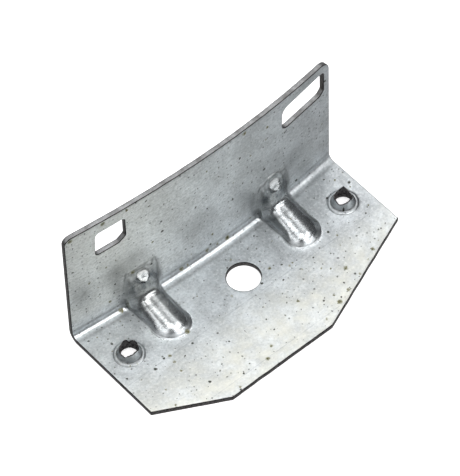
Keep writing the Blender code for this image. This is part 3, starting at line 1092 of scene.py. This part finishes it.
class BRACKET_OT_pressing(bpy.types.Operator):
    """Form the bracket from its flat blank and give it its zinc finish"""

    bl_idname = "bracket.pressing"
    bl_label = "Bracket pressing"

    def execute(self, context):
        s = sizes()
        bm = flat_blank()
        x, depth, radius = CENTRE_HOLE
        pierce(bm, round_outline(x, depth, radius, HOLE_STEPS), KNIT)
        for corners in (LEFT_SLOT, RIGHT_SLOT):
            pierce(bm, slot_outline(corners), KNIT)
        small_holes = []
        for x, rim in ((-COLLAR_X, LEFT_RIM), (COLLAR_X, RIGHT_RIM)):
            outline = round_outline(x, COLLAR_DEPTH, COLLAR_FLARE, COLLAR_STEPS)
            small_holes.append((pierce(bm, outline, COLLAR_KNIT), x, rim))
        form(bm)
        collars = [burst(bm, edges, x, rim) for edges, x, rim in small_holes]
        bmesh.ops.recalc_face_normals(bm, faces=bm.faces)
        if sum(face.normal.z * face.calc_area() for face in bm.faces) < 0:
            bmesh.ops.reverse_faces(bm, faces=bm.faces)
        thickness = {}
        bm.verts.index_update()
        for rings in collars:
            for share, verts in rings:
                for vert in verts:
                    thinned = smoothstep(0.0, THINNED_BY, share)
                    thickness[vert.index] = 1.0 + (RIM_WALL - 1.0) * thinned
        mesh = bpy.data.meshes.new("bracket")
        bm.to_mesh(mesh)
        bm.free()
        piece = bpy.data.objects.new("bracket", mesh)
        context.scene.collection.objects.link(piece)

        group = piece.vertex_groups.new(name="wall")
        for index in range(len(mesh.vertices)):
            group.add([index], thickness.get(index, 1.0), "REPLACE")
        for material in (galvanised_steel(), sheared_edge(), torn_steel_and_shade(), rim_shade()):
            mesh.materials.append(material)
        wall = piece.modifiers.new("wall", "SOLIDIFY")
        wall.thickness = s.sheet
        wall.offset = -1.0
        wall.vertex_group = "wall"
        wall.material_offset_rim = EDGE_FINISH
        rounding = piece.modifiers.new("rounding", "BEVEL")
        rounding.width = s.edge_round
        rounding.segments = ROUNDING_STEPS
        rounding.limit_method = "ANGLE"
        rounding.use_clamp_overlap = False
        rounding.angle_limit = ROUNDING_ANGLE
        rounding.material = RIM_FINISH

        depsgraph = context.evaluated_depsgraph_get()
        finished = bpy.data.meshes.new_from_object(piece.evaluated_get(depsgraph))
        piece.modifiers.clear()
        piece.vertex_groups.clear()
        piece.data = finished
        bpy.data.meshes.remove(mesh)
        finished.name = "bracket"
        blacken_torn_steel(finished)
        finished.shade_smooth()
        finished.set_sharp_from_angle(angle=SHARP_ANGLE)
        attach(piece, "root")
        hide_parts(NODE)
        return {"FINISHED"}


# Softboxes: (name, azimuth from the back and elevation in degrees, distance, width and height
# in metres, brightness)
SOFTBOXES = (
    ("back_softbox", 18.0, 56.0, 1.5, 1.5, 1.05, 1.50),
    ("front_softbox", 152.0, 31.0, 1.5, 1.0, 0.26, 2.6),
    ("high_front_softbox", 148.0, 58.0, 1.5, 1.1, 0.50, 2.1),
    ("left_softbox", 259.0, 47.0, 1.6, 0.9, 0.75, 1.15),
    ("left_back_softbox", 306.0, 39.0, 1.6, 0.9, 1.0, 0.78),
    ("camera_right_softbox", 175.0, 46.0, 1.6, 0.6, 0.6, 2.0),
    ("overhead_softbox", 225.0, 79.0, 1.6, 0.8, 0.6, 2.1),
    ("right_top_softbox", 85.0, 67.0, 1.6, 0.7, 0.6, 0.62),
)
# Watts per square metre of a softbox at brightness 1
SOFTBOX_WATTS = 4
# Strength of the room's light above and below the horizon, and how gently it changes there
ROOM_ABOVE = 0.10
ROOM_BELOW = 0.52
HORIZON = (-0.12, 0.05)
FLOOR_REACH = 3.0
CAMERA_AT = (-0.52473, -0.63277, 1.12636)
CAMERA_TURN = (36.9415, 1.2478, -40.8024)
CAMERA_LENS = 299.6
CAMERA_SENSOR = 36.0
CAMERA_REACH = 10.0


def room_light(tree):
    """A dim studio: nearly dark above the table, and a soft grey bounce from below."""
    background = tree.nodes["Background"]
    way = add_node(tree, "ShaderNodeTexCoord").outputs["Generated"]
    axes = add_node(tree, "ShaderNodeSeparateXYZ", links={"Vector": way})
    strength = remap(tree, axes.outputs["Z"], *HORIZON, ROOM_BELOW, ROOM_ABOVE)
    tree.links.new(strength, background.inputs["Strength"])
    background.inputs["Color"].default_value = linear("#eef1f4")


def hang_softbox(scene, name, azimuth, elevation, distance, width, height, brightness):
    """Hang an even rectangular light that faces the bracket."""
    light = bpy.data.lights.new(name, "AREA")
    light.shape = "RECTANGLE"
    light.size = width
    light.size_y = height
    light.energy = SOFTBOX_WATTS * width * height * brightness
    lamp = bpy.data.objects.new(name, light)
    turn, rise = math.radians(azimuth), math.radians(elevation)
    level = math.cos(rise)
    away = Vector((math.sin(turn) * level, math.cos(turn) * level, math.sin(rise)))
    lamp.location = away * distance
    lamp.rotation_euler = (-away).to_track_quat("-Z", "Y").to_euler()
    scene.collection.objects.link(lamp)


class BRACKET_OT_stage(bpy.types.Operator):
    """Lay the floor and set the lights and the camera"""

    bl_idname = "bracket.stage"
    bl_label = "Studio"

    def execute(self, context):
        floor_bm = bmesh.new()
        bmesh.ops.create_grid(floor_bm, x_segments=1, y_segments=1, size=FLOOR_REACH)
        floor_mesh = bpy.data.meshes.new("studio_floor")
        floor_bm.to_mesh(floor_mesh)
        floor_bm.free()
        floor_mesh.materials.append(opal_acrylic())
        floor = bpy.data.objects.new("studio_floor", floor_mesh)
        context.scene.collection.objects.link(floor)
        floor.visible_glossy = False

        world = bpy.data.worlds.new("studio")
        world.use_nodes = True
        room_light(world.node_tree)
        context.scene.world = world
        for softbox in SOFTBOXES:
            hang_softbox(context.scene, *softbox)

        camera = bpy.data.cameras.new("camera")
        camera.lens = CAMERA_LENS
        camera.sensor_width = CAMERA_SENSOR
        camera.clip_end = CAMERA_REACH
        eye = bpy.data.objects.new("camera", camera)
        eye.location = CAMERA_AT
        eye.rotation_euler = [math.radians(a) for a in CAMERA_TURN]
        context.scene.collection.objects.link(eye)
        context.scene.camera = eye
        context.scene.view_settings.view_transform = "Standard"
        return {"FINISHED"}


class BRACKET_PT_panel(bpy.types.Panel):
    """Sizes, colours and buttons for the bracket"""

    bl_idname = "BRACKET_PT_panel"
    bl_label = "Roof Bracket"
    bl_space_type = "VIEW_3D"
    bl_region_type = "UI"
    bl_category = "Roof Bracket"

    def draw(self, context):
        for name in BracketSizes.__annotations__:
            self.layout.prop(context.scene.bracket_sizes, name)
        self.layout.operator(BRACKET_OT_pressing.bl_idname)
        self.layout.operator(BRACKET_OT_stage.bl_idname)


CLASSES = (BracketSizes, BRACKET_OT_pressing, BRACKET_OT_stage, BRACKET_PT_panel)


def register():
    """Add the classes and the scene's sizes."""
    for cls in CLASSES:
        bpy.utils.register_class(cls)
    bpy.types.Scene.bracket_sizes = bpy.props.PointerProperty(type=BracketSizes)


def unregister():
    """Take the scene's sizes and the classes away again."""
    del bpy.types.Scene.bracket_sizes
    for cls in reversed(CLASSES):
        bpy.utils.unregister_class(cls)


def main():
    """Build everything."""
    register()
    bpy.ops.bracket.pressing()
    bpy.ops.bracket.stage()


if __name__ == "__main__":
    main()
